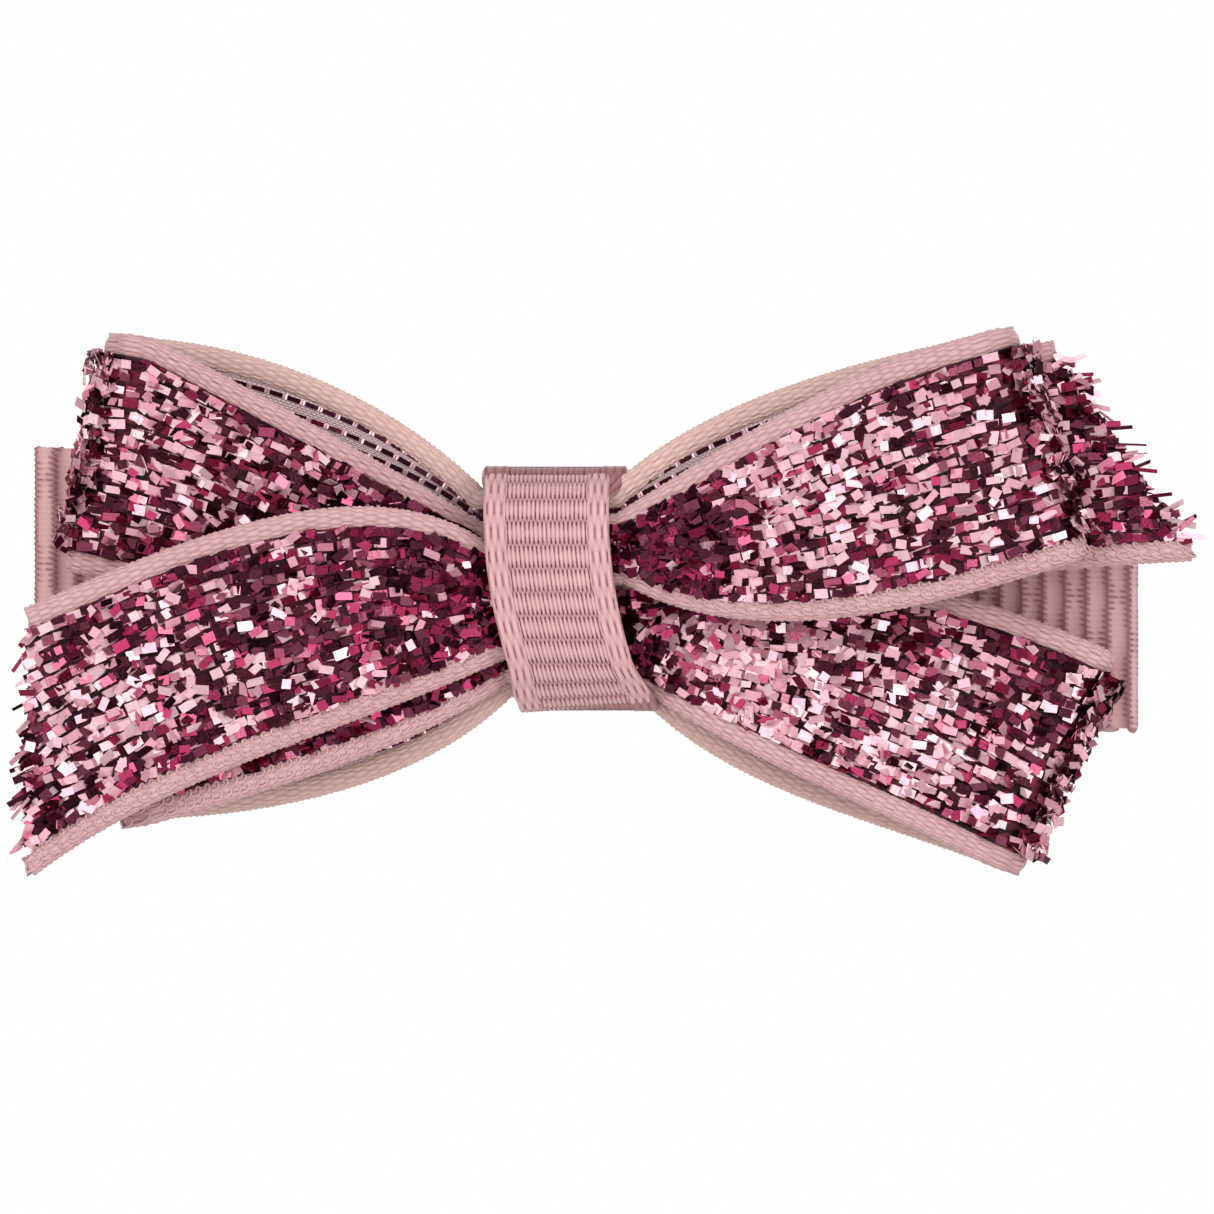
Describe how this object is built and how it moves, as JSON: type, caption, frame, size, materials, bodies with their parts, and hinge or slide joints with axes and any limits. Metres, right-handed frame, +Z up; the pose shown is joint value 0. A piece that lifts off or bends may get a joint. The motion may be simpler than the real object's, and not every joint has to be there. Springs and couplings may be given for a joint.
{
  "type": "hair bow",
  "caption": "Glitter ribbon hair bow on a flat grosgrain loop, bound by a ribbon knot to a sprung steel alligator clip that grips the hair.",
  "frame": {"origin": "the clip's bite: level with the plate and the teeth where hair lies, at the knot's middle along the bow and at the middle of the clip's width", "axes": "+X along the bow to its right end as worn and seen from the front, +Z up its face, -Y out of the face that shows, +Y into the hair"},
  "size_m": [0.0585, 0.0214, 0.0275],
  "materials": {
    "glitter_ribbon": "woven ribbon under square metallic foil chips, dusty pink and rose",
    "grosgrain": "ribbed dusty pink grosgrain with a soft sheen",
    "thread": "matt spun thread",
    "glue": "clear set hot glue",
    "plated_steel": "nickel plated, brushed by use",
    "spring_wire": "drawn spring wire"
  },
  "bodies": {
    "bow": {"rising_ribbon": "glitter_ribbon", "falling_ribbon": "glitter_ribbon", "base_ribbon": "grosgrain", "knot_wrap": "grosgrain", "binding_thread": "thread", "bow_glue": "glue", "clip_glue": "glue", "clip_plate": "plated_steel", "hinge_pin": "plated_steel", "spring_coil": "spring_wire"},
    "jaw": {"clip_jaw": "plated_steel", "spring_leg": "spring_wire"}
  },
  "joints": [
    {"name": "jaw_hinge", "type": "hinge", "parent": "bow", "child": "jaw", "pos_m": [0.01, 0.00325, 0], "axis": [0, 0, -1], "range_deg": [0, 24], "stiffness_Nm_per_rad": 0.03, "springref_deg": -28.65}
  ]
}
